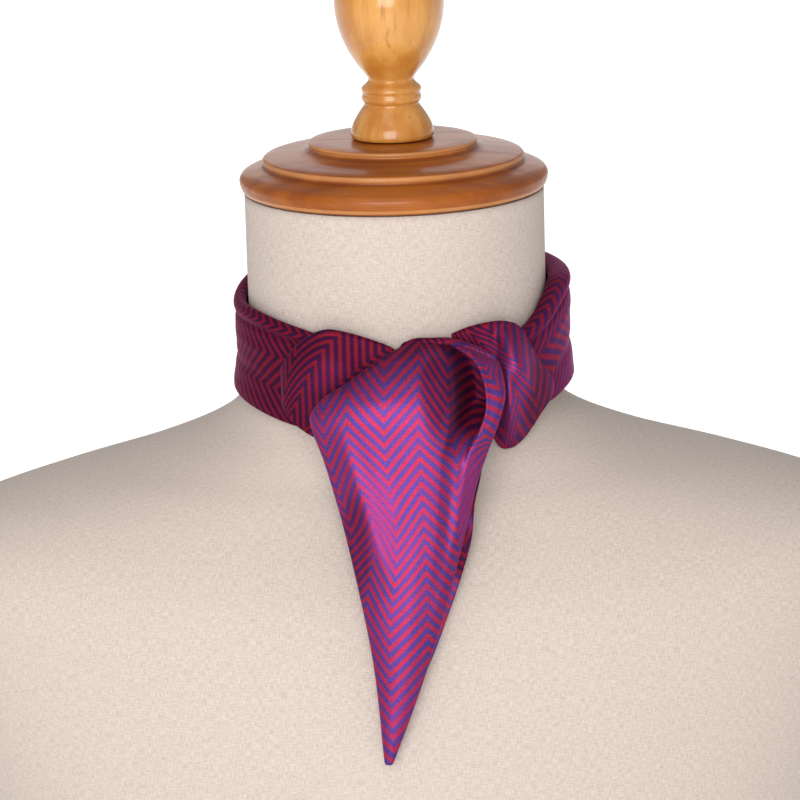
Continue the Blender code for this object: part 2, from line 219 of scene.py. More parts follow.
silkLook = {
    "red": (0.385, 0.025, 0.064),
    "violet": (0.073, 0.043, 0.225),
    "worn": (0.27, 0.034, 0.17),            # painted sheen: both yarns' colours run together, as the silk's lustre shows them
    "shadedRed": (0.20, 0.009, 0.026),        # painted shade: the same yarns darkened close to the neck and down in the scoop
    "shadedViolet": (0.040, 0.006, 0.034),
    # the painted shade fades out between these distances from an upright line a little left of the neck's
    # middle
    "nearRadius": 71 * mm, "openRadius": 92 * mm, "nearMiddle": -9 * mm,
    # more places of painted shade, in mm: x, y, z of the middle, half sizes along them, and the share of the
    # shaded tones
    "paintedShadePlaces": ((27, -72, 436, 13, 20, 26, 1.0), (14.5, -92, 448, 8, 22, 22, 0.75),
                   (54, -48, 434, 11, 22, 20, 0.9), (-18.5, -93, 386, 7.5, 30, 26, 0.65),
                   (30, -82, 400, 7, 7, 20, 0.9), (24.5, -89, 376, 7, 6.5, 20, 0.9)),
    # places of painted sheen, where the yarns' colours are run together, in the same way
    "paintedSheenPlaces": ((-9.0, -95, 396, 8, 30, 22, 0.45), (26, -92, 400, 5, 30, 28, 0.5)),
    "columnWidth": 14.0 * mm,    # one slope of the herringbone
    "columnRise": 15.6 * mm,     # how far a stripe climbs across one column
    "period": 5.2 * mm,          # one red and one violet stripe, along the column
    "balance": 0.46, "edge": 0.15,    # where a stripe's edge lies and its softness, in half periods
    "twill": 0.85 * mm,          # spacing of the fine ribs
    # how fine the noises are, per metre of cloth, and how far each one moves the stripes, in periods
    "yarn": (900, 900, 1), "pick": (1700, 1300, 1), "drift": (45, 45, 1),
    "yarnShift": 0.10, "pickShift": 0.24, "driftShift": 0.12,
    # brightness: a floor, and what yarn, pick and rib add to it
    "shadeFloor": 0.11, "yarnShade": 0.70, "pickShade": 0.84, "ribShade": 0.30,
    "roughness": 0.48, "deepRoughness": 0.14, "lustre": 0.62, "specular": 0.25,
    "sheen": 0.12, "sheenRoughness": 0.3, "sheenTint": (0.82, 0.34, 0.62, 1),
}


def herringboneSilk():
    # stripe number = (v - rise * zigzag(u)) / period; its fraction picks red or violet
    look = silkLook
    shader = Shader("herringboneSilk", Metallic=look["lustre"], Sheen_Weight=look["sheen"],
                    Sheen_Roughness=look["sheenRoughness"], Sheen_Tint=look["sheenTint"],
                    Specular_IOR_Level=look["specular"], Specular_Tint=look["sheenTint"])
    uv = shader.make("ShaderNodeUVMap", {"uv_map": "cloth"})
    u, v, _ = shader.split(uv)
    yarn = shader.noise(shader.stretch(uv, look["yarn"]), 1.0, 2)
    pick = shader.noise(shader.stretch(uv, look["pick"]), 1.0, 1)
    drift = shader.noise(shader.stretch(uv, look["drift"]), 1.0, 1)
    zigzag = u.math("PINGPONG", look["columnWidth"]) * (look["columnRise"] / look["columnWidth"])
    number = ((v - zigzag) / look["period"] + (yarn - 0.5) * look["yarnShift"]
              + (pick - 0.5) * look["pickShift"] + (drift - 0.5) * look["driftShift"])
    wave = number.math("PINGPONG", 0.5) * 2
    stripe = shader.between(wave + (yarn - 0.5) * 0.5, look["balance"] - look["edge"],
                            look["balance"] + look["edge"])
    rib = ((v + zigzag * 0.9) / look["twill"]).math("PINGPONG", 0.5) * 2
    position = shader.make("ShaderNodeTexCoord", None, (), 3)
    x, y, _ = shader.split(position)
    x = x - look["nearMiddle"]
    # painted shade: deep is the share of the darker tones, near the neck and in the places of painted shade
    deep = 1 - shader.between((x * x + y * y)**0.5, look["nearRadius"], look["openRadius"])
    for numbers in look["paintedShadePlaces"]:
        deep = deep.math("MAXIMUM", shader.patch(position, numbers))
    # the share of painted sheen, from its places
    smooth = sum(shader.patch(position, numbers) for numbers in look["paintedSheenPlaces"])
    # the yarns' colours, with the painted shade mixed in
    red = shader.mix(deep, look["red"], look["shadedRed"])
    colour = shader.mix(stripe, red, shader.mix(deep, look["violet"], look["shadedViolet"]))
    # painted sheen: the blended colour, a little everywhere and varying at random, most in the places of
    # painted sheen, none under the painted shade
    colour = shader.mix((0.10 + (drift - 0.5) * 0.6 + smooth) * (1 - deep), colour, look["worn"])
    shade = (look["shadeFloor"] + look["yarnShade"] * yarn + look["pickShade"] * pick
             + look["ribShade"] * rib)
    colour = shader.make("ShaderNodeMix", {"data_type": "RGBA", "blend_type": "MULTIPLY"},
                         {0: 1.0, 6: colour, 7: shader.join(shade, shade, shade)}, 2)
    roughness = look["roughness"] + (yarn - 0.5) * 0.16 + deep * look["deepRoughness"]
    height = rib * 0.5 + yarn * 0.6 + stripe * 0.35
    return shader.finish(colour, roughness, height=height, bump=(0.35, 0.12 * mm))


# linen

linenLook = {
    "base": (0.60, 0.505, 0.445), "pale": (0.68, 0.59, 0.53), "dark": (0.36, 0.29, 0.245),
    "roughness": 0.92, "sheen": 0.08, "sheenRoughness": 0.6, "specular": 0.2,
    "thread": 0.55 * mm,    # spacing of the threads
    # how fine the noises are, per metre of cloth, across and up
    "warp": (2600, 330, 1), "weft": (330, 2600, 1), "slub": (60, 1300, 1), "slubUp": (1300, 60, 1),
    "cloud": (16, 16, 1),
}


def wovenLinen():
    # threads: two zigzags of the UV map, broken up by noises drawn out along each
    # slubs are rarer, longer streaks
    look = linenLook
    shader = Shader("wovenLinen", Roughness=look["roughness"], Sheen_Weight=look["sheen"],
                    Sheen_Roughness=look["sheenRoughness"], Specular_IOR_Level=look["specular"])
    uv = shader.make("ShaderNodeUVMap", {"uv_map": "cloth"})
    u, v, _ = shader.split(uv)
    warp, weft, slub, slubUp = [shader.noise(shader.stretch(uv, look[name]), 1.0, 1)
                                for name in ("warp", "weft", "slub", "slubUp")]
    cloud = shader.noise(shader.stretch(uv, look["cloud"]), 1.0, 2)
    gridU = (u / look["thread"]).math("PINGPONG", 0.5)
    gridV = (v / look["thread"]).math("PINGPONG", 0.5)
    threads = warp * 0.5 + weft * 0.5
    tone = shader.between(threads + (gridU + gridV) * 0.12, 0.40, 0.70)
    colour = shader.mix(tone, look["dark"], look["pale"])
    colour = shader.mix(0.52, colour, look["base"])
    fleck = shader.between(slub, 0.66, 0.76) + shader.between(slubUp, 0.68, 0.78) * 0.7
    colour = shader.mix(fleck * 0.16, colour, look["dark"])
    colour = shader.mix((cloud - 0.5) * 0.2 + 0.1, colour, look["pale"])
    height = threads + gridU * 0.3 + gridV * 0.3 + fleck * 0.3
    return shader.finish(colour, height=height, bump=(0.5, 0.18 * mm))


# turned and lacquered wood

capLook = {
    # the deep colour is the grain's dark, and also painted shade in the grooves; the pale edge colour is
    # painted highlight on the tier edges
    "deep": (0.11, 0.021, 0.002), "main": (0.245, 0.053, 0.0035), "light": (0.40, 0.107, 0.007),
    "roughness": 0.42, "coat": 0.17, "worn": (0.64, 0.29, 0.10), "wornShare": 0.62, "grooveShadeShare": 0.55,
    "grainAxis": 0, "grain": 95, "blotch": 28,    # the grain's axis, and grain and blotches per metre
}
# the cap's painted highlights on its tier edges and painted shade in its grooves, as rings round the axis
# from a least radius outwards
capHighlightRings = table("radius low high", (33.8, 528.9, 531.7), (53.2, 522.6, 525.3), (61.8, 511.2, 513.4))
capShadeRings = table("radius low high", (33.0, 527.4, 529.0), (52.8, 521.2, 522.7))
finialLook = {
    "deep": (0.24, 0.075, 0.010), "main": (0.50, 0.185, 0.028), "light": (0.68, 0.33, 0.08),
    "roughness": 0.3, "coat": 0.55, "grainAxis": 2, "grain": 120, "blotch": 60,
}
ringEdge = 0.6 * mm


def ringShare(shader, position, rings):
    # 1 on the rings and 0 off them, with soft edges
    x, y, z = shader.split(position)
    radius = (x * x + y * y)**0.5
    total = 0
    for start, low, high in zip(rings["radius"], rings["low"], rings["high"]):
        total = total + (shader.between(radius, start, start + ringEdge)
                         * shader.between(z, low, low + ringEdge)
                         * (1 - shader.between(z, high - ringEdge, high)))
    return total


def lacqueredWood(name, look, worn=None, shadedGrooves=None):
    # long grain: a noise drawn out along one axis, with finer pores and slower blotches
    shader = Shader(name, Coat_Weight=look["coat"], Coat_Roughness=0.10, Specular_IOR_Level=0.3)
    place = shader.make("ShaderNodeTexCoord", None, (), 3)
    grainSize = tuple(look["grain"] * (0.06 if axis == look["grainAxis"] else 1.0) for axis in range(3))
    poreSize = tuple(look["grain"] * (0.12 if axis == look["grainAxis"] else 4.0) for axis in range(3))
    grain = shader.noise(shader.stretch(place, grainSize), 1.0, 4, 0.6)
    pores = shader.noise(shader.stretch(place, poreSize), 1.0, 2, 0.6)
    cloud = shader.noise(shader.stretch(place, (look["blotch"],) * 3), 1.0, 2)
    tone = shader.between(grain * 0.65 + cloud * 0.35, 0.36, 0.64)
    colour = shader.mix(tone, look["main"], look["light"])
    streak = shader.between(pores * 0.55 + grain * 0.45, 0.56, 0.70)
    colour = shader.mix(streak * 0.55, colour, look["deep"])
    # painted highlights on the tier edges, varied by the grain
    if worn:
        edgeSheen = ringShare(shader, place, worn) * look["wornShare"] * (0.6 + grain * 0.8)
        colour = shader.mix(edgeSheen, colour, look["worn"])
        # painted shade: the grooves darkened towards the grain's deep colour
        colour = shader.mix(ringShare(shader, place, shadedGrooves) * look["grooveShadeShare"], colour, look["deep"])
    roughness = look["roughness"] + (pores - 0.5) * 0.2
    return shader.finish(colour, roughness, height=pores, bump=(0.12, 0.2 * mm))


silk = herringboneSilk()
linen = wovenLinen()
capWood = lacqueredWood("capWood", capLook, capHighlightRings, capShadeRings)
finialWood = lacqueredWood("finialWood", finialLook)
print("materials made")


def attach(item, node, material):
    item.data.materials.append(material)
    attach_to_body(item, "root")
    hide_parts(node)


# linen bust: loft of ellipses

form = {
    "roundSteps": 224, "riseSteps": 170, "neckRadius": 62 * mm, "neckSeam": 434 * mm,
    "endRings": (0.0005, 0.5, 0.985),    # rings of the flat base and top, as shares of the outermost
}
formSections = table(
    "height halfWidth halfDepth setback",
    (0, 140, 103.3, 3.3), (60, 134, 98.3, 3.3), (140, 150, 105.3, 3.3), (220, 172, 111.3, 3.3),
    (280, 190, 110.3, 3.3), (325, 205, 104.3, 3.3), (352, 211, 97.3, 3.3), (368, 206, 89.2, 3.2),
    (381, 184, 81, 3), (392, 150, 74.6, 2.6), (402, 112, 69, 2), (412, 84, 66, 1), (422, 68.5, 63.8, 0),
    (434, 63.4, 62.4, 0), (448, 62, 62, 0), (480, 62, 62, 0), (510.5, 62, 62, 0),
)


def bustForm():
    # x = half width * sin(turn), y = setback - half depth * cos(turn): turn 0 is the front
    rows = resample(formSections, form["riseSteps"])
    turn = np.linspace(-math.pi, math.pi, form["roundSteps"] + 1)
    x = rows["halfWidth"] * np.sin(turn)
    y = rows["setback"] - rows["halfDepth"] * np.cos(turn)
    z = rows["height"] + 0 * x
    points = np.stack([x, y, z], axis=-1)
    points[:, -1] = points[:, 0]
    # threads run true at the middle of the front and of the back, and the cloth is joined at the sides
    around = arcLength(points, 1)
    quarter = form["roundSteps"] // 4
    front = around - around[:, 2 * quarter:2 * quarter + 1]
    up = np.where(z > form["neckSeam"], z, arcLength(points, 0))
    uv = np.stack([front, up], axis=-1)
    # flat base and top: rings shrunk to the middle
    middleLow, middleHigh = points[:1].mean(axis=1, keepdims=True), points[-1:].mean(axis=1, keepdims=True)
    low = [middleLow + (points[:1] - middleLow) * share for share in form["endRings"]]
    high = [middleHigh + (points[-1:] - middleHigh) * share for share in reversed(form["endRings"])]
    points = np.concatenate([*low, points, *high], axis=0)
    uv = np.concatenate([*[ring[..., :2] for ring in low], uv, *[ring[..., :2] for ring in high]], axis=0)
    return gridObject("linenBust", points[::-1], uv[::-1], closed=True)


attach(bustForm(), "form_body", linen)
print("bust form made")

# turned pieces: a profile carried round the axis

turning = {
    "roundSteps": 160, "rounding": 2, "pole": 0.02 * mm,
    "capLevel": 517 * mm, "capCorner": 0.5 * mm, "finialSeat": 532.1 * mm, "finialCorner": 2.5 * mm,
}
capProfile = table(
    "radius rise",
    (0, 14.8), (29.5, 14.8), (34.6, 14.3), (35.2, 13.3), (34.2, 12.2), (36.4, 10.9), (38.6, 10.1),
    (50.0, 8.9), (53.4, 8.2), (54.4, 6.9), (53.6, 5.5), (54.6, 4.6), (59.6, 3.1), (62.8, 1.6), (64.0, -0.4),
    (63.6, -3.0), (62.6, -5.2), (61.0, -6.2), (0, -6.2),
)
finialProfile = table(
    "radius rise",
    (0, 81.5), (6.0, 80.9), (12.0, 78.4), (17.2, 73.6), (20.8, 67.0), (22.6, 60.0), (22.7, 54.5),
    (21.6, 47.0), (18.8, 39.0), (14.6, 31.6), (10.4, 26.4), (9.3, 24.6), (9.8, 23.2), (12.0, 21.6),
    (12.5, 20.0), (11.8, 18.6), (12.4, 17.2), (12.2, 15.4), (10.9, 14.4), (13.6, 10.8), (16.4, 6.0),
    (17.4, 2.2), (17.0, 0.6), (16.2, 0.0), (0, 0.0),
)


def roundedProfile(profile, times, reach):
    # each pass cuts every corner at a quarter of its sides, at most reach away, which makes short curves
    points = np.stack([profile["radius"], profile["rise"]], axis=-1)
    for _ in range(times):
        run = np.diff(points, axis=0)
        length = np.linalg.norm(run, axis=1, keepdims=True)
        cut = np.minimum(0.25, reach / length)
        pair = np.stack([points[:-1] + run * cut, points[1:] - run * cut], axis=1).reshape(-1, 2)
        points = np.concatenate([points[:1], pair[1:-1], points[-1:]], axis=0)
    return points


def turnedPiece(name, profile, base, reach):
    # x = radius * sin(turn), y = -radius * cos(turn), z = base + rise
    outline = roundedProfile(profile, turning["rounding"], reach)
    outline[[0, -1], 0] = turning["pole"]
    turn = np.linspace(0, 2 * math.pi, turning["roundSteps"] + 1)
    radius, rise = outline[:, :1], outline[:, 1:]
    points = np.stack([radius * np.sin(turn), -radius * np.cos(turn), base + rise + 0 * turn], axis=-1)
    uv = np.stack([turn * radius, rise + 0 * turn], axis=-1)
    return gridObject(name, points, uv, closed=True)


cap = turnedPiece("turnedCap", capProfile, turning["capLevel"], turning["capCorner"])
finial = turnedPiece("turnedFinial", finialProfile, turning["finialSeat"], turning["finialCorner"])
attach(cap, "neck_cap", capWood)
attach(finial, "finial", finialWood)
print("turned pieces made")

# cloth helpers

cloth = {"wall": 1.5 * mm}


def clothUv(across, down, lay):
    # the cloth's own two directions, turned by the lean of its columns and moved to where a column line runs
    lean, scale = math.radians(lay["lean"]), lay.get("scale", 1)
    across, down = (across - lay["across"]) * scale, (down - lay["down"]) * scale
    return np.stack([across * math.cos(lean) + down * math.sin(lean),
                     down * math.cos(lean) - across * math.sin(lean)], axis=-1)


def acrossColumns(x, lines, first, margin=1.0):
    # one column of the weave between neighbouring lines, and distance times margin beyond the outer ones
    width = silkLook["columnWidth"]
    u = first * width + margin * (np.minimum(x - lines[0], 0) + np.maximum(x - lines[-1], 0))
    for before, after in zip(lines[:-1], lines[1:]):
        u = u + width * np.clip((x - before) / (after - before), 0, 1)
    return u


# the front blade's lip and the fold beside it carry one pattern: its column lines as x, from the top down
throatLines = table(
    "seen peakLow valleyLow peakHigh valleyHigh",
    (468, 4, 18, 26.0, 35.3), (466, 6, 20, 28.0, 37.3), (463, 9.5, 23.6, 31.8, 39.7),
    (459, 14.5, 29, 35.5, 42.4), (455, 18, 32.4, 38.3, 45.2), (451.5, 20, 34.1, 41.6, 48.0),
    (448, 21.5, 35.0, 44.7, 50.3), (444.5, 23, 37.9, 45.2, 52.1), (441, 25, 40.0, 46.1, 53.4),
    (437, 27.5, 41.0, 46.8, 54.4), (433, 29.5, 41.6, 46.9, 54.8), (427, 32.5, 42.0, 46.6, 55.2),
    (418, 35, 42.2, 46, 55.5),
)
throatLay = {
    "lean": -43, "across": 38.9 * mm, "down": -445.1 * mm, "start": 18.5 * mm,
    "depth": 75 * mm, "fall": 0.25,
}


def seenHeight(depth, height):
    # the height at which the raised front view shows a place: one further back shows higher up
    return height + throatLay["fall"] * (throatLay["depth"] - depth)


def throatUv(x, depth, height):
    seen = seenHeight(depth, height)
    lines = [np.interp(-seen, -throatLines["seen"], values)
             for name, values in throatLines.items() if name != "seen"]
    uv = clothUv(x, -seen, throatLay)
    uv[..., 0] = acrossColumns(x, lines, 2)
    uv[..., 1] += throatLay["start"]
    return uv


def finishCloth(name, node, points, uv):
    # the surface gets its wall evenly to both sides, and rounded edges
    item = gridObject(name, points, uv)
    wall = item.modifiers.new("wall", "SOLIDIFY")
    wall.thickness, wall.offset = cloth["wall"], 0
    smooth = item.modifiers.new("smooth", "SUBSURF")
    smooth.levels = smooth.render_levels = 1
    attach(item, node, silk)
    sides = points[1:, :-1] - points[:-1, :-1], points[:-1, 1:] - points[:-1, :-1]
    area = np.linalg.norm(np.cross(*sides), axis=-1).sum()
    print(name, "surface area", round(float(area) * 1e4, 1), "cm2")


# neck bands

bandShape = {
    "roundSteps": 150, "faceSteps": 26, "rollSteps": 26, "innerSwell": 4.6 * mm, "flare": 1.5 * mm,
    "rollInside": 2.7 * mm, "rollTurn": 2.2 * mm, "turnSteps": 8, "creaseFrom": 3 * mm,
    "edgeReach": 2.2 * mm, "grooveWidth": 1.2 * mm,
}
bandRowsLeft = table(
    "angle top bottom swell",
    (0.2, 478, 437, 4.6), (45, 475, 434, 4.8), (90, 467.5, 430, 5.0), (118, 466.5, 427, 4.8),
    (138, 464, 424, 4.6), (158, 460, 421, 4.4),
)
bandRowsRight = table(
    "angle top bottom swell",
    (0.2, 478, 437, 4.6), (35, 477, 436, 6.0), (70, 475, 433, 8.6), (97, 473.5, 431, 9.2),
    (110, 469, 429, 8.6), (120, 463, 427, 8.0), (129, 459, 426, 7.0), (140, 457, 425, 6.0),
)
bandSection = table(
    "drop out",
    (3.4, -2.9), (1.0, -2.7), (0.0, -1.4), (0.7, 0.0), (2.9, 0.5), (5.2, -0.9), (7.6, -0.1),
)
# soft folds in the bands: places are round the neck (A, mm of arc from the centre back) and down (B)
bandCreasesLeft = table(
    "fromA fromB toA toB lift width bow",
    (30, 14, 120, 18, -0.7, 2.2, 1.5), (70, 24, 168, 27, -0.8, 2.6, -1.5), (10, 30, 90, 34, 0.5, 3.0, 1.0),
    (110, 12, 176, 15, 0.6, 2.4, 0.8), (90, 33, 172, 36, 0.5, 2.4, 0.5),
)
bandCreasesRight = table(
    "fromA fromB toA toB lift width bow",
    (14, 12, 96, 17, -0.7, 2.4, -1.2), (60, 23, 150, 28, -0.9, 2.8, 1.6), (96, 10, 160, 16, 0.5, 2.6, -0.8),
    (24, 30, 120, 35, 0.5, 3.0, 1.2),
)


def neckBand(name, node, side, rows, creases, lay):
    # round the neck from the centre back: radius = neck + swell + the section's own line
    # the angle column is in degrees
    rows = resample(rows, bandShape["roundSteps"])
    turn = np.radians(rows["angle"] / mm)
    fall = np.linspace(0, 1, bandShape["faceSteps"] + 1)[1:]
    roll = {key: spline(values, bandShape["rollSteps"]) for key, values in bandSection.items()}
    faceTop = bandSection["drop"][-1]
    height = rows["top"] - rows["bottom"]
    drop = np.concatenate([roll["drop"] + 0 * height, faceTop + (height - faceTop) * fall], axis=1)
    out = np.concatenate([roll["out"] + 0 * height, bandShape["flare"] * fall**3 + 0 * height], axis=1)
    # the inner side of the rolled edge has innerSwell, its outer side and the face have the rows' own swell
    outward = np.clip((out[:1] + bandShape["rollInside"]) / bandShape["rollTurn"], 0, 1)
    outward[:, np.argmin(roll["drop"]) + bandShape["turnSteps"]:] = 1
    swell = bandShape["innerSwell"] + (rows["swell"] - bandShape["innerSwell"]) * outward
    radius = form["neckRadius"] + swell + out
    arc = turn * radius[:, -1:]
    radius = radius + ripple(arc, drop, creases) * (drop > bandShape["creaseFrom"])
    points = np.stack([side * radius * np.sin(turn), radius * np.cos(turn), rows["top"] - drop], axis=-1)
    down = arcLength(points, 1)
    # the turned edge doubles the weave's angle beside its valley, and the pattern starts anew past the groove
    beside = np.clip(down - lay["valley"], -bandShape["edgeReach"], bandShape["edgeReach"])
    groove = np.clip((down - lay["groove"]) / bandShape["grooveWidth"], 0, 1)
    uv = clothUv(side * (arc + 0 * down), down + lay["sharpen"] * beside + groove * lay["shift"], lay)
    finishCloth(name, node, points[:, ::side], uv[:, ::side])


leftLay = {
    "lean": 90, "across": 0, "down": -7.7 * mm, "groove": 8.4 * mm, "shift": 12.8 * mm,
    "valley": 6.3 * mm, "sharpen": 0.9,
}
rightLay = {
    "lean": -90, "across": 0, "down": 7 * mm, "groove": 300 * mm, "shift": 0, "valley": 0, "sharpen": 0,
}
neckBand("bandLeft", "neck_band_left", -1, bandRowsLeft, bandCreasesLeft, leftLay)
neckBand("bandRight", "neck_band_right", 1, bandRowsRight, bandCreasesRight, rightLay)

# wrap and fold beside the throat

foldShape = {
    "alongSteps": 110, "curlSteps": 10, "faceSteps": 60, "bulgeLift": 0.8, "bulgeRoundness": 1.2,
    "fullBulge": 4 * mm,
}
wrapRows = table(
    "x depth top bottom bulge curl",
    (14, 65.6, 449, 425, 0.5, 0.3), (7, 66.0, 450.5, 422, 1.0, 0.3), (2, 66.4, 452.5, 421, 1.2, 0.3),
    (-3, 66.8, 457.6, 420, 1.8, 0.4), (-12, 67.2, 461.4, 419, 3.0, 1.2), (-21, 66.8, 464.2, 419, 5.0, 1.5),
    (-29, 65.4, 465.2, 420, 6.5, 1.5), (-36, 63.4, 462.2, 422, 6.5, 1.5), (-42, 60.8, 456.6, 426, 5.0, 1.5),
    (-46, 57.6, 450.8, 430, 3.0, 1.0), (-47.2, 54.6, 447, 433, 1.0, 0.4), (-44.8, 53.2, 445, 437, 0.0, 0.2),
    (-40, 56.2, 444.5, 438, 0.0, 0.2), (-35.5, 59.2, 444.5, 438, 0.0, 0.2),
)
foldRows = table(
    "x depth top bottom bulge curl",
    (21.5, 60.1, 461.0, 448, 0.0, 0.3), (27, 60.8, 463.2, 440, 1.0, 1.2), (33, 60.0, 464.6, 430, 1.2, 1.5),
    (39, 58.6, 465.2, 415, 6.0, 1.5), (44, 57.0, 464.6, 413, 16.5, 1.5),
    (48.5, 54.0, 462.0, 415, 16.5, 1.5), (52.5, 50.7, 454.4, 419, 12.0, 1.2),
    (56.5, 46.9, 446.4, 424, 7.0, 0.8), (60, 43.0, 440.6, 428, 3.5, 0.5),
    (62.5, 40.0, 436.8, 431, 1.0, 0.2),
)
# soft folds: places are x (A) and height (B), seen from the front
wrapCreases = table(
    "fromA fromB toA toB lift width bow",
    (-44, 440, -22, 430, -0.9, 3.0, 2.0), (-40, 455, -14, 447, 0.7, 4.0, 1.5),
    (-30, 437, -6, 452, -0.6, 3.0, -1.0),
)
foldCreases = table(
    "fromA fromB toA toB lift width bow",
    (37, 463, 49, 432, -2.4, 3.0, 2.0), (43, 464, 57, 438, 1.2, 3.4, -1.0),
    (40, 447, 46, 420, 1.2, 2.6, 1.0), (48, 442, 52, 422, -1.2, 2.4, -0.8),
)


def standingFold(name, node, rows, creases, lay):
    # a top edge curled back, then a face that swells forward as a lifted wave, down to its foot
    rows = resample(rows, foldShape["alongSteps"])
    bend = np.linspace(math.pi, 0, foldShape["curlSteps"] + 1)[:-1]
    fall = np.linspace(0, 1, foldShape["faceSteps"] + 1)
    shoulder = rows["top"] - rows["curl"]
    wave = np.sin(math.pi * fall**foldShape["bulgeLift"])**foldShape["bulgeRoundness"]
    curlDepth = rows["depth"] - rows["curl"] * (1 - np.cos(bend))
    faceDepth = rows["depth"] + rows["bulge"] * wave
    curlHeight = shoulder + rows["curl"] * np.sin(bend)
    faceHeight = shoulder + (rows["bottom"] - shoulder) * fall
    depth = np.concatenate([curlDepth, faceDepth], axis=1)
    height = np.concatenate([curlHeight, faceHeight], axis=1)
    x = rows["x"] + 0 * depth
    depth = depth + ripple(x, height, creases) * np.clip(rows["bulge"] / foldShape["fullBulge"], 0, 1)
    points = np.stack([x, -depth, height], axis=-1)
    middle = foldShape["curlSteps"] + foldShape["faceSteps"] // 3
    run = arcLength(points, 0)[:, middle:middle + 1]
    sign = 1 if rows["x"][-1, 0] > rows["x"][0, 0] else -1
    down = arcLength(points, 1)
    uv = clothUv(sign * (run + 0 * down), down, lay) if lay else throatUv(x, depth, height)
    finishCloth(name, node, points, uv)


wrapLay = {"lean": 41.9, "across": -19.9 * mm, "down": -17.9 * mm, "scale": 1.068}
standingFold("wrapLeft", "left_wrap", wrapRows, wrapCreases, wrapLay)
standingFold("foldRight", "right_fold", foldRows, foldCreases, None)
print("bands, wrap and fold made")

# front blade

blade = {
    "downSteps": 96, "leftSteps": 34, "slopeSteps": 20, "wallSteps": 24, "lipSteps": 18,
    "hemSteps": 5, "topSteps": 6,
    "besideCrown": 0.913,    # the column that the pattern is measured down, as a share of leftSteps
    "topDrop": 3 * mm, "edgeRoll": 2.2 * mm, "topRoll": 1.6 * mm, "fullScoop": 12 * mm, "scoopFloor": 0.3,
    "creasePlace": 0.5, "creaseEase": 0.1,
    "crestCut": 0.9 * mm, "crestWidth": 1.7 * mm,
    "rimSharpness": 1.5, "cornerTurn": 5 * mm, "cornerReach": 20 * mm, "archFullness": 2.4, "droopPower": 1.5,
    "margin": 1.5,
    # above lipTop the lip leans back, so its pattern runs faster for lipReach
    "lipTop": 448.5 * mm, "lipGain": 0.8, "lipReach": 8 * mm,
    "creaseFade": 4 * mm,                    # creases fade out this close to the edges
    "slopeReach": 26 * mm, "scoopReach": 14 * mm,
    # the wall takes on the lip's pattern from this share of it, over the next, where the scoop is this deep
    "turnFrom": 0.45, "turnOver": 0.45, "lipFrom": 4 * mm,
}
bladeRows = table(
    "height left leftDepth right rightDepth crownDepth leftDroop rightDroop leftHem rightHem",
    (459.8, 1.2, 67.2, 38.4, 71.8, 70.0, 1.6, 7.0, 1.2, 1.2),
    (458.2, -1.4, 70.8, 38.9, 72.4, 75.8, 0.8, 5.8, 2.6, 1.4),
    (455.2, -6.8, 73.6, 39.6, 73.4, 82.4, 0.0, 3.8, 7.0, 1.8),
    (450.5, -14.5, 76.6, 40.3, 75.4, 88.2, 0.0, 1.4, 10, 2.2),
    (446, -21.5, 79.2, 41.0, 78.2, 91.6, 0.0, 0.0, 11.0, 2.6),
    (441, -30.5, 81.4, 41.3, 81.0, 94.2, 0.0, 0.0, 12, 3.6),
    (435, -35.2, 83.0, 39.8, 84.0, 96.0, 0.0, 0.0, 13.0, 5.0),
    (428, -34.2, 84.0, 37.2, 86.0, 97.2, 0.0, 0.0, 14, 9.0),
    (420, -31.2, 85.4, 33.8, 87.8, 98.4, 0.0, 0.0, 15.0, 13.0),
    (408, -27.6, 88.0, 29.2, 90.2, 100.2, 0, 0, 16, 16),
    (392, -23.4, 91.8, 24.8, 94.0, 102.8, 0.0, 0.0, 16.0, 16.0),
    (374, -19.4, 96.4, 19.6, 98.4, 106, 0, 0, 13.5, 13.5),
    (356, -15.8, 101.0, 14.2, 102.4, 109.0, 0, 0, 10.5, 10.5),
    (338, -12.8, 105.0, 8.0, 106.0, 111.4, 0, 0, 7.0, 7.0),
    (320, -11.0, 108.4, 1.2, 109.0, 113.0, 0.0, 0.0, 3.8, 3.8),
    (308, -10.2, 110.2, -3.6, 110.6, 113.6, 0, 0, 1.5, 1.5),
    (298, -9.4, 111.6, -7.6, 111.6, 112.8, 0.0, 0.0, 0.3, 0.3),
)
scoopRows = table(
    "crown well rim sink lean tuck",
    (8.0, 18.0, 21.5, 0.8, 0.0, 0.0), (8.0, 22.6, 27.4, 10.0, 1.4, 1.2), (8.0, 26.6, 30.8, 17.0, 3.2, 3.2),
    (8.0, 29.0, 32.6, 20.5, 4.0, 4.2), (8.0, 30.0, 33.6, 22.6, 4.4, 4.4), (8.0, 30.6, 34.2, 24.0, 4.4, 4.2),
    (8.0, 30.0, 33.6, 24.0, 3.8, 3.6), (8.2, 27.0, 30.8, 14.0, 2.2, 1.8), (8.4, 23.0, 26.4, 2.2, 0.4, 0.2),
    (8.8, 20.6, 24.0, 0.7, 0.0, 0.0), (8.6, 17.8, 20.6, 0.4, 0.0, 0.0), (6.6, 14.0, 16.2, 0.2, 0.0, 0.0),
    (4.2, 9.8, 11.6, 0, 0, 0), (1.0, 5.0, 6.2, 0, 0, 0), (-2.8, -0.7, 0.1, 0, 0, 0),
    (-6.2, -4.9, -4.4, 0, 0, 0), (-8.5, -8.1, -7.8, 0, 0, 0),
)
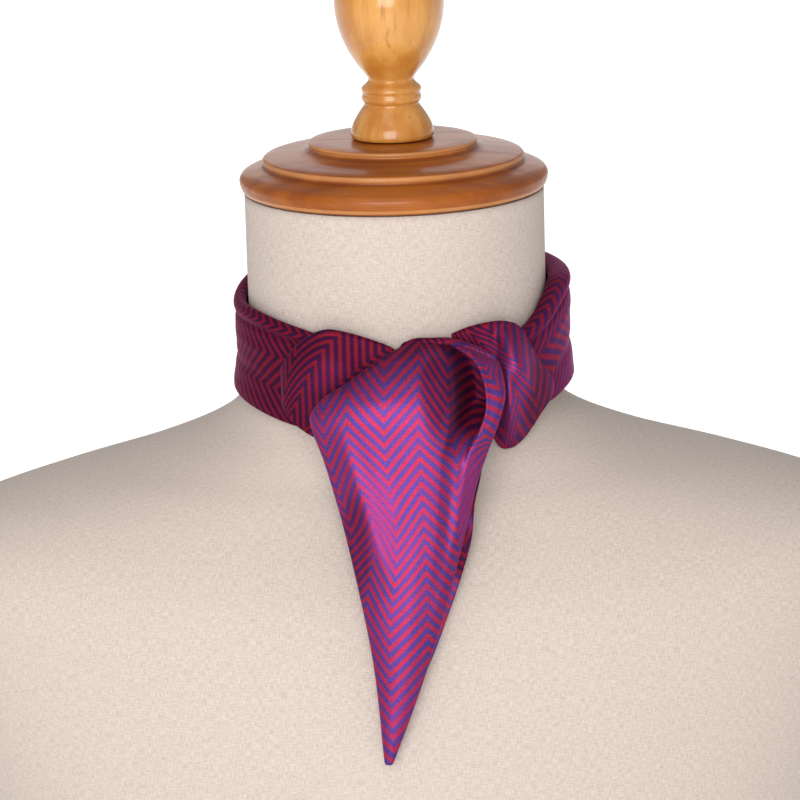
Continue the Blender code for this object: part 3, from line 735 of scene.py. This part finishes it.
# where the herringbone's column lines run down the blade, as x at the same levels
columnLines = table(
    "peakLeft valley peak valleyRight peakRight",
    (-20.2, -5.7, 8.1, 19.3, 28.0), (-20.2, -5.7, 8.1, 19.2, 28.4), (-20.2, -5.8, 8.0, 19.0, 28.8),
    (-20.2, -6.0, 7.8, 18.8, 29.2), (-20.3, -6.2, 7.6, 18.7, 29.5), (-20.8, -6.4, 7.4, 18.5, 29.8),
    (-21.2, -6.6, 7.2, 18.2, 30.6), (-20.8, -6.7, 6.9, 18.6, 32.3), (-19.4, -6.3, 7.2, 21.7, 33.0),
    (-16.5, -5.2, 7.6, 21.6, 29.5), (-11.2, -2.9, 8.0, 21.3, 27.0), (-13.4, -3.8, 8.3, 21.0, 26.0),
    (-16.0, -6.2, 8.2, 20.6, 26.0), (-17.5, -6.8, 8.0, 20.0, 28.0), (-19.0, -6.6, 8.0, 20.0, 28.0),
    (-20.0, -6.4, 8.0, 20.0, 28.0), (-20.0, -6.4, 8.0, 20.0, 28.0),
)
# how fast the pattern falls right of the peak, and more right of the valley, in thousandths, at those levels
patternFall = table(
    "slope scoop",
    (400, 900), (400, 900), (400, 900), (400, 900), (350, 900), (300, 900), (200, 900), (50, 500), (0, 0),
    (0, 0), (0, 0), (0, 0), (0, 0), (0, 0), (0, 0), (0, 0), (0, 0),
)
# soft folds: places are x (A) and height (B), seen from the front
bladeCreases = table(
    "fromA fromB toA toB lift width bow",
    (-24, 433, -4, 368, 1.4, 3.2, -1.0), (-31, 430, -13, 362, -1.6, 3.6, -1.0),
    (-6, 446, -4, 400, -0.5, 4.0, 0.5), (19, 424, 15, 366, -0.7, 3.0, 0.8),
    (24, 416, 9, 344, 0.6, 2.4, 0.8), (4, 392, -4, 320, 0.4, 4.0, 0.8), (-14, 452, -26, 440, 0.6, 3.0, 0.6),
)


def edgeRoll(edgeX, edgeDepth, hem, inward, turnBack):
    # cloth turned under at an edge: a quarter round, then a flat return towards the middle
    roll = np.minimum(blade["edgeRoll"], hem / 2)
    bend = np.linspace(0, math.pi / 2, blade["hemSteps"] + 1)[1:]
    reach = np.linspace(0, 1, blade["hemSteps"])[1:]
    x = np.concatenate([edgeX + inward * roll * (1 - np.cos(bend)) * (1 - turnBack),
                        edgeX + inward * (roll + hem * reach) * (1 - turnBack)], axis=1)
    depth = np.concatenate([edgeDepth - roll * np.sin(bend),
                            edgeDepth - roll - turnBack * hem * reach], axis=1)
    return x, depth


def bladeArch(rows, scoop):
    # each level is an arch between two edges, less a scoop beside the throat: a slope that eases down to
    # a crease and then drops as 1 - (1 - share)^2, a short floor and a steep wall up to a leaning rim
    left, right, crown, well = rows["left"], rows["right"], scoop["crown"], scoop["well"]
    wallEnd = scoop["rim"] + scoop["lean"]
    toCrown = 1 - np.cos(np.linspace(0, math.pi / 2, blade["leftSteps"] + 1))
    toWell = np.linspace(0, 1, blade["slopeSteps"] + 1)[1:]
    toRim = np.linspace(0, 1, blade["wallSteps"] + 1)[1:]
    toRight = np.sin(np.linspace(0, math.pi / 2, blade["lipSteps"] + 1))[1:]
    flatX = np.concatenate([left + (crown - left) * toCrown, crown + (well - crown) * toWell,
                            well + (wallEnd - well) * toRim, wallEnd + (right - wallEnd) * toRight], axis=1)
    middle, half = (left + right) / 2, (right - left) / 2
    share = np.clip(np.abs(flatX - middle) / half, 0, 1)
    chord = rows["leftDepth"] + (rows["rightDepth"] - rows["leftDepth"]) * (flatX - left) / (2 * half)
    rise = rows["crownDepth"] - (rows["leftDepth"] + rows["rightDepth"]) / 2
    depth = chord + rise * np.sqrt(1 - share**blade["archFullness"])
    slope = np.clip((flatX - crown) / (well - crown), 0, 1)
    pastCrease = np.clip((slope - blade["creasePlace"]) / (1 - blade["creasePlace"]), 0, 1)
    fall = np.where(slope < blade["creasePlace"], blade["creaseEase"] * (slope / blade["creasePlace"])**2,
                    1 - (1 - blade["creaseEase"]) * (1 - pastCrease)**2)
    wall = np.clip((flatX - well) / (wallEnd - well), 0, 1)
    climb = np.clip((wall - blade["scoopFloor"]) / (1 - blade["scoopFloor"]), 0, 1)
    depth = depth - scoop["sink"] * np.where(flatX < well, fall, 1 - climb**blade["rimSharpness"])
    # the rim's crest is taken down by a bell curve, to a softer round
    crest = np.exp(-((flatX - wallEnd) / blade["crestWidth"])**2)
    depth = depth - blade["crestCut"] * crest * np.clip(scoop["sink"] / blade["fullScoop"], 0, 1)
    pastRim = np.clip((flatX - wallEnd) / (right - wallEnd), 0, 1)
    x = (flatX + scoop["tuck"] * np.sin(math.pi * wall)
         - scoop["lean"] * wall**4 * np.cos(math.pi / 2 * pastRim)**2)
    drop = (rows["leftDroop"] * np.clip(1 - (x - left) / (crown - left), 0, 1)**2
            + rows["rightDroop"] * np.clip((x - middle) / half, 0, 1)**blade["droopPower"])
    inside = (np.clip((x - left) / blade["creaseFade"], 0, 1)
              * np.clip((right - x) / blade["creaseFade"], 0, 1))
    depth = depth + ripple(x, rows["height"] + 0 * x, bladeCreases) * inside
    return flatX, x, depth, rows["height"] - drop, wall


def bladePattern(scoop, flatX, x, depth, height, wall):
    # columns run across between their lines, and stripes down by the seen height beside the crown
    lines = list(resample(columnLines, blade["downSteps"]).values())
    u = acrossColumns(flatX, lines, -2, blade["margin"])
    column = round(blade["leftSteps"] * blade["besideCrown"])
    seen = seenHeight(depth, height)[:, column:column + 1]
    down = seen[:1] - seen
    falls = resample(patternFall, blade["downSteps"])
    down = down - falls["slope"] * np.clip(flatX - lines[2], 0, blade["slopeReach"])
    down = down - falls["scoop"] * np.clip(flatX - lines[3], 0, blade["scoopReach"])
    uv = np.stack([u, down], axis=-1)
    # the upper wall and the lip have the throat's pattern
    lip = throatUv(x, depth, height)
    above = np.clip(seenHeight(depth, height) - blade["lipTop"], 0, blade["lipReach"])
    lip[..., 1] -= blade["lipGain"] * above
    turned = np.clip((wall - blade["turnFrom"]) / blade["turnOver"], 0, 1)
    turned = turned * np.clip((scoop["sink"] - blade["lipFrom"]) / blade["fullScoop"], 0, 1)
    return uv + (lip - uv) * turned[..., None]


def rolledTop(points, uv, left, first):
    # the top edge rolled back over the throat, in front of the given rows
    bend = np.linspace(math.pi, 0, blade["topSteps"] + 2)[:-1, None]
    turnedIn = blade["cornerTurn"] * np.clip(1 - (points[0, :, 0] - left) / blade["cornerReach"], 0, 1)**2
    back = 1 - np.cos(bend) + 0 * turnedIn
    over = points[:1] + np.stack([turnedIn * back / 2, blade["topRoll"] * back,
                                  blade["topRoll"] * np.sin(bend) + 0 * back], axis=-1)
    hidden = over[:1] - np.array([0, 0, blade["topDrop"]])
    top = np.concatenate([hidden, over], axis=0)
    rise = arcLength(np.concatenate([top, points[:1]], axis=0)[:, first:first + 1], 0)
    rise = np.stack([0 * rise, rise - rise[-1:]], axis=-1)[:-1]
    return np.concatenate([top, points], axis=0), np.concatenate([uv[:1] + rise, uv], axis=0)


def frontBlade():
    # the arch with its pattern, then both edges turned under and the top rolled back
    rows, scoop = resample(bladeRows, blade["downSteps"]), resample(scoopRows, blade["downSteps"])
    flatX, x, depth, height, wall = bladeArch(rows, scoop)
    uv = bladePattern(scoop, flatX, x, depth, height, wall)
    turnBack = np.clip(scoop["sink"] / blade["fullScoop"], 0, 1)
    leftX, leftDepth = edgeRoll(rows["left"], rows["leftDepth"], rows["leftHem"], 1, 0 * turnBack)
    rightX, rightDepth = edgeRoll(rows["right"], rows["rightDepth"], rows["rightHem"], -1, turnBack)
    x = np.concatenate([leftX[:, ::-1], x, rightX], axis=1)
    depth = np.concatenate([leftDepth[:, ::-1], depth, rightDepth], axis=1)
    height = np.concatenate([height[:, :1] + 0 * leftX, height, height[:, -1:] + 0 * rightX], axis=1)
    points = np.stack([x, -depth, height], axis=-1)
    # the pattern runs on round both edges by arc length
    run = arcLength(points, 1)
    run = np.stack([run, 0 * run], axis=-1)
    first, last = leftX.shape[1], leftX.shape[1] + uv.shape[1] - 1
    uv = np.concatenate([uv[:, :1] + run[:, :first] - run[:, first:first + 1], uv,
                         uv[:, -1:] + run[:, last + 1:] - run[:, last:last + 1]], axis=1)
    points, uv = rolledTop(points, uv, rows["left"][0], first)
    finishCloth("bladeFront", "front_blade", points, uv)


frontBlade()

# under blade

underShape = {"downSteps": 60, "acrossSteps": 40}
underLay = {"lean": -14, "across": 0, "down": 0}
underRows = table(
    "height left right depth bow",
    (417, -19, 33.0, 77.0, 1.5), (408, -19, 31.6, 80.0, 1.5), (397, -18, 28.8, 83.2, 1.5),
    (384, -16, 27.2, 87.2, 1.5), (370, -14, 22.8, 91.4, 1.2), (353, -11, 16.2, 96.4, 1.0),
    (336, -9, 9.0, 100.4, 0.8), (318, -7.8, -0.4, 103.6, 0.5), (306, -8.6, -5.2, 105.4, 0.2),
)


def underBlade():
    # a plain strip, bowed a little forward: depth + bow * sin(pi * across)
    rows = resample(underRows, underShape["downSteps"])
    across = np.linspace(0, 1, underShape["acrossSteps"] + 1)
    x = rows["left"] + (rows["right"] - rows["left"]) * across
    depth = rows["depth"] + rows["bow"] * np.sin(math.pi * across)
    points = np.stack([x, -depth, rows["height"] + 0 * x], axis=-1)
    down = arcLength(points[:, :1], 0)
    uv = clothUv(x, down + 0 * x, underLay)
    finishCloth("bladeUnder", "under_blade", points, uv)


underBlade()
print("blades made")

# floor, light and camera

studio = {
    "worldStrength": 0.42, "worldColour": (1.0, 1.0, 1.0, 1),
    "floorSize": 30.0, "floorLevel": -0.5 * mm, "floorColour": (0.93, 0.93, 0.93), "floorShade": 0.985,
    "floorGlow": 0.76, "frontGlow": 0.30,    # glow behind the bust, and the share of it in front
    "glowFrom": -0.2, "glowTo": 0.6, "aimHeight": 0.43, "sensor": 36,
    "distance": 1.6, "elevation": 14, "roll": 1.6, "centreHeight": 0.42, "viewWidth": 0.336,
}
# name, place, size, power
lights = [
    ("keyLight", (-0.22, -1.9, 0.95), 1.2, 29),
    ("topLight", (-0.3, -0.9, 2.1), 0.9, 3),
    ("backLight", (0.0, 6.5, 1.9), 3.5, 43),
]


def makeFloor():
    half = studio["floorSize"] / 2
    mesh = bpy.data.meshes.new("paleFloor")
    corners = [(-half, -half), (half, -half), (half, half), (-half, half)]
    mesh.from_pydata([(x, y, studio["floorLevel"]) for x, y in corners], [], [(0, 1, 2, 3)])
    floor = bpy.data.objects.new("paleFloor", mesh)
    bpy.context.scene.collection.objects.link(floor)
    shader = Shader("palePaper", Roughness=0.9, Specular_IOR_Level=0.1, Emission_Strength=studio["floorGlow"])
    position = shader.make("ShaderNodeTexCoord", None, (), 3)
    behind = shader.between(shader.split(position)[1], studio["glowFrom"], studio["glowTo"])
    dim = tuple(studio["frontGlow"] for _ in range(3))
    glow = shader.mix(behind, dim, (1.0, 1.0, 1.0))
    tone = shader.noise(position, 6.0, 2)
    darker = tuple(channel * studio["floorShade"] for channel in studio["floorColour"])
    colour = shader.mix(tone, studio["floorColour"], darker)
    floor.data.materials.append(shader.finish(colour, glow=glow))


def makeLights():
    world = bpy.data.worlds.new("paleStudio")
    world.use_nodes = True
    background = world.node_tree.nodes["Background"]
    background.inputs["Color"].default_value = studio["worldColour"]
    background.inputs["Strength"].default_value = studio["worldStrength"]
    bpy.context.scene.world = world
    for name, place, size, power in lights:
        lamp = bpy.data.lights.new(name, "AREA")
        lamp.energy, lamp.size = power, size
        item = bpy.data.objects.new(name, lamp)
        item.location = place
        aim = Vector((0, 0, studio["aimHeight"])) - Vector(place)
        item.rotation_euler = aim.to_track_quat("-Z", "Y").to_euler()
        bpy.context.scene.collection.objects.link(item)


def makeCamera():
    rise = math.radians(studio["elevation"])
    back = Vector((0, -math.cos(rise), math.sin(rise)))
    data = bpy.data.cameras.new("photoCamera")
    data.sensor_width = studio["sensor"]
    data.lens = studio["sensor"] * studio["distance"] / studio["viewWidth"]
    camera = bpy.data.objects.new("photoCamera", data)
    roll = Matrix.Rotation(math.radians(-studio["roll"]), 3, "Z")
    turn = (-back).to_track_quat("-Z", "Y").to_matrix() @ roll
    centre = Vector((0, 0, studio["centreHeight"]))
    camera.matrix_world = Matrix.Translation(centre + back * studio["distance"]) @ turn.to_4x4()
    bpy.context.scene.collection.objects.link(camera)
    bpy.context.scene.camera = camera


makeFloor()
makeLights()
makeCamera()
bpy.context.scene.view_settings.view_transform = "Standard"
print("studio made")

bpy.context.view_layer.update()
